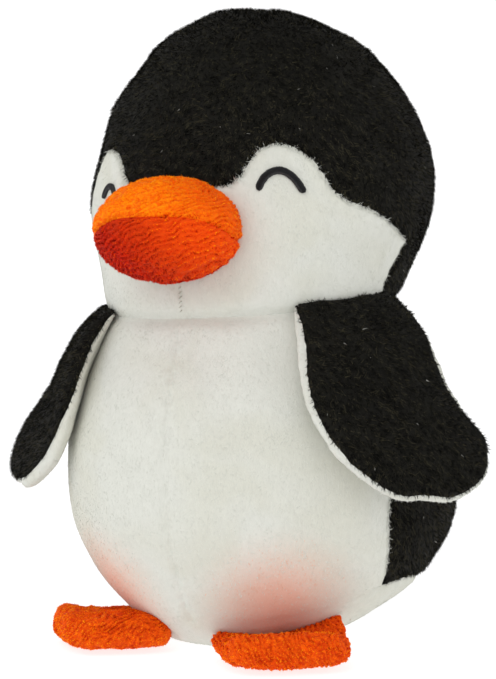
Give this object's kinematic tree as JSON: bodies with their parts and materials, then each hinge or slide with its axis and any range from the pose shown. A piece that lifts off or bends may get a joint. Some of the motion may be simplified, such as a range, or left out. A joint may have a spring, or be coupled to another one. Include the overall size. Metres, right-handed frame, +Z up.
{
  "type": "plush penguin",
  "caption": "Stuffed plush toy penguin that stands on a flat sewn base, with padded wings that lift and padded feet whose toes lift.",
  "frame": {"origin": "centre of the flat base, on the surface that the penguin stands on", "axes": "+Z up through the head; the penguin faces -Y; +X is towards its left wing"},
  "size_m": [0.189, 0.1623, 0.23],
  "materials": {
    "black_plush": "matte",
    "white_plush": "matte",
    "orange_plush": "matte",
    "eye_thread": "satin",
    "fibre_filling": "matte",
    "label_satin": "satin"
  },
  "bodies": {
    "torso": {"head_hood": "black_plush", "head_back_left": "black_plush", "head_back_right": "black_plush", "face_left": "white_plush", "face_right": "white_plush", "eye_left": "eye_thread", "eye_right": "eye_thread", "beak_upper": "orange_plush", "beak_lower": "orange_plush", "beak_filling": "fibre_filling", "head_filling": "fibre_filling", "body_front_left": "white_plush", "body_front_right": "white_plush", "body_back_left": "black_plush", "body_back_right": "black_plush", "base_panel": "white_plush", "body_filling": "fibre_filling", "care_label": "label_satin"},
    "wing_left": {"wing_left_outer": "black_plush", "wing_left_lining": "white_plush", "wing_left_filling": "fibre_filling"},
    "wing_right": {"wing_right_outer": "black_plush", "wing_right_lining": "white_plush", "wing_right_filling": "fibre_filling"},
    "foot_left": {"foot_left_top": "orange_plush", "foot_left_sole": "orange_plush", "foot_left_filling": "fibre_filling"},
    "foot_right": {"foot_right_top": "orange_plush", "foot_right_sole": "orange_plush", "foot_right_filling": "fibre_filling"}
  },
  "joints": [
    {"name": "wing_left_lift", "type": "hinge", "parent": "torso", "child": "wing_left", "pos_m": [0.05196, -0.03, 0.118], "axis": [-0.5, -0.866, 0], "range_deg": [0, 75], "stiffness_Nm_per_rad": 0.1},
    {"name": "wing_right_lift", "type": "hinge", "parent": "torso", "child": "wing_right", "pos_m": [-0.05196, -0.03, 0.118], "axis": [-0.5, 0.866, 0], "range_deg": [0, 75], "stiffness_Nm_per_rad": 0.1},
    {"name": "foot_left_lift", "type": "hinge", "parent": "torso", "child": "foot_left", "pos_m": [0.02828, -0.03371, 0.01], "axis": [-0.766, -0.6428, 0], "range_deg": [0, 15], "stiffness_Nm_per_rad": 0.05},
    {"name": "foot_right_lift", "type": "hinge", "parent": "torso", "child": "foot_right", "pos_m": [-0.02828, -0.03371, 0.01], "axis": [-0.766, 0.6428, 0], "range_deg": [0, 15], "stiffness_Nm_per_rad": 0.05}
  ]
}
